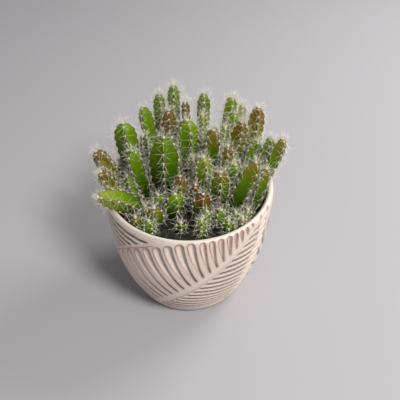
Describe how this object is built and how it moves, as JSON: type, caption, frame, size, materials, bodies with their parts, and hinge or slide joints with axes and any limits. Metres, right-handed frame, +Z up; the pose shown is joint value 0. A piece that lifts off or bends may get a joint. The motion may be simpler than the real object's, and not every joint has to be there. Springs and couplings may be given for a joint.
{
  "type": "potted dragon fruit cactus",
  "caption": "Dense clump of short ribbed cactus stems with pale spines, in dark soil in a cream glazed bowl with carved leaf relief.",
  "frame": {"origin": "centre of the bowl's flat foot, where it stands on a surface", "axes": "+Z up out of the bowl; -Y towards the clump's low front, where the soil shows; +X to the right seen from the front"},
  "size_m": [0.1389, 0.12, 0.1476],
  "materials": {
    "glazed_cream": "satin cream glaze, pinkish brown in the grooves",
    "dark_soil": "loose dark potting soil, rough and matte",
    "stem_leaf": "waxy green skin",
    "stem_lime": "waxy yellow green skin",
    "stem_deep": "waxy deep green skin",
    "stem_moss": "waxy grey green skin",
    "stem_olive": "waxy olive skin",
    "stem_rust": "waxy skin flushed orange brown",
    "stem_red": "waxy skin flushed red brown",
    "stem_dark": "waxy dark green skin",
    "stem_pale": "waxy pale green skin"
  },
  "bodies": {
    "root": {"pot": "glazed_cream", "soil": "dark_soil", "stem_01": "stem_moss", "stem_02": "stem_moss", "stem_03": "stem_leaf", "stem_04": "stem_rust", "stem_05": "stem_rust", "stem_06": "stem_moss", "stem_07": "stem_lime", "stem_08": "stem_leaf", "stem_09": "stem_pale", "stem_10": "stem_leaf", "stem_11": "stem_rust", "stem_12": "stem_rust", "stem_13": "stem_leaf", "stem_14": "stem_moss", "stem_15": "stem_olive", "stem_16": "stem_leaf", "stem_17": "stem_olive", "stem_18": "stem_rust", "stem_19": "stem_leaf", "stem_20": "stem_deep", "stem_21": "stem_leaf", "stem_22": "stem_leaf", "stem_23": "stem_rust", "stem_24": "stem_rust", "stem_25": "stem_lime", "stem_26": "stem_leaf", "stem_27": "stem_lime", "stem_28": "stem_leaf", "stem_29": "stem_olive", "stem_30": "stem_leaf", "stem_31": "stem_olive", "stem_32": "stem_olive", "stem_33": "stem_leaf", "stem_34": "stem_rust", "stem_35": "stem_red", "stem_36": "stem_red", "stem_37": "stem_leaf", "stem_38": "stem_leaf", "stem_39": "stem_olive", "stem_40": "stem_olive", "stem_41": "stem_leaf", "stem_42": "stem_olive", "stem_43": "stem_leaf", "stem_44": "stem_lime", "stem_45": "stem_leaf", "stem_46": "stem_pale", "stem_47": "stem_moss", "stem_48": "stem_dark", "stem_49": "stem_leaf", "stem_50": "stem_leaf", "stem_51": "stem_moss", "stem_52": "stem_leaf", "stem_53": "stem_moss", "stem_54": "stem_leaf", "stem_55": "stem_moss", "stem_56": "stem_leaf", "stem_57": "stem_leaf"}
  },
  "joints": []
}
